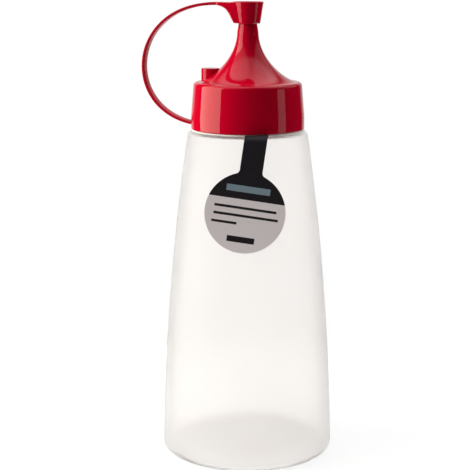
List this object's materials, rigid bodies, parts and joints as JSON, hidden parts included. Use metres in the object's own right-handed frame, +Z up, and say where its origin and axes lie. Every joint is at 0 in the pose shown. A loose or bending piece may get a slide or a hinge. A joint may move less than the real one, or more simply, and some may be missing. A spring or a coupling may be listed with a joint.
{
  "type": "squeeze sauce bottle",
  "caption": "Tall flared squeeze bottle for sauce with a screw cap, a trumpet-shaped pouring nozzle, a tip cap tethered by a flexible strap, and a round card tag.",
  "frame": {"origin": "middle of the bottle's base, on the surface that it stands on", "axes": "+Z up along the bottle's axis; the strap loops out towards -X; the tag hangs on the -Y side"},
  "size_m": [0.0871, 0.0778, 0.205],
  "materials": {
    "bottle": "milky see-through",
    "cap": "glossy",
    "seal": "soft foam",
    "tag": "printed, matt"
  },
  "bodies": {
    "bottle": {"bottle": "bottle"},
    "hang_tag": {"hang_tag": "tag"},
    "neck_seal": {"neck_seal": "seal"},
    "screw_cap": {"screw_cap": "cap"},
    "strap_1": {"strap_link_1": "cap"},
    "strap_2": {"strap_link_2": "cap"},
    "strap_3": {"strap_link_3": "cap"},
    "strap_4": {"strap_link_4": "cap"},
    "tip_cap": {"tip_cap": "cap"}
  },
  "joints": [
    {"name": "tag_swivel", "type": "hinge", "parent": "bottle", "child": "hang_tag", "pos_m": [0, 0, 0.1486], "axis": [0, 0, 1], "continuous": true},
    {"name": "cap_rise", "type": "slide", "parent": "bottle", "child": "neck_seal", "axis": [0, 0, 1], "range_m": [0, 0.00701]},
    {"name": "cap_turn", "type": "hinge", "parent": "neck_seal", "child": "screw_cap", "pos_m": [0, 0, 0.1672], "axis": [0, 0, 1], "range_deg": [0, 600]},
    {"name": "strap_root", "type": "hinge", "parent": "screw_cap", "child": "strap_1", "pos_m": [-0.02793, 0, 0.15161], "axis": [0, 1, 0], "range_deg": [0, 30.01]},
    {"name": "strap_bend_1", "type": "hinge", "parent": "strap_1", "child": "strap_2", "pos_m": [-0.04418, 0, 0.16351], "axis": [0, -1, 0], "range_deg": [0, 26]},
    {"name": "strap_bend_2", "type": "hinge", "parent": "strap_2", "child": "strap_3", "pos_m": [-0.04642, 0, 0.18347], "axis": [0, -1, 0], "range_deg": [0, 44.01]},
    {"name": "strap_bend_3", "type": "hinge", "parent": "strap_3", "child": "strap_4", "pos_m": [-0.03381, 0, 0.19923], "axis": [0, -1, 0], "range_deg": [0, 42.01]},
    {"name": "strap_bend_4", "type": "hinge", "parent": "strap_4", "child": "tip_cap", "pos_m": [-0.014, 0, 0.20415], "axis": [0, -1, 0], "range_deg": [0, 30.01]}
  ],
  "couplings": [
    {"joint": "cap_rise", "follows": "cap_turn", "m_per_rad": 0.00066845},
    {"joint": "strap_root", "follows": "strap_bend_1", "ratio": 1.1538},
    {"joint": "strap_bend_2", "follows": "strap_bend_1", "ratio": 1.6923},
    {"joint": "strap_bend_3", "follows": "strap_bend_1", "ratio": 1.6154},
    {"joint": "strap_bend_4", "follows": "strap_bend_1", "ratio": 1.1538}
  ]
}
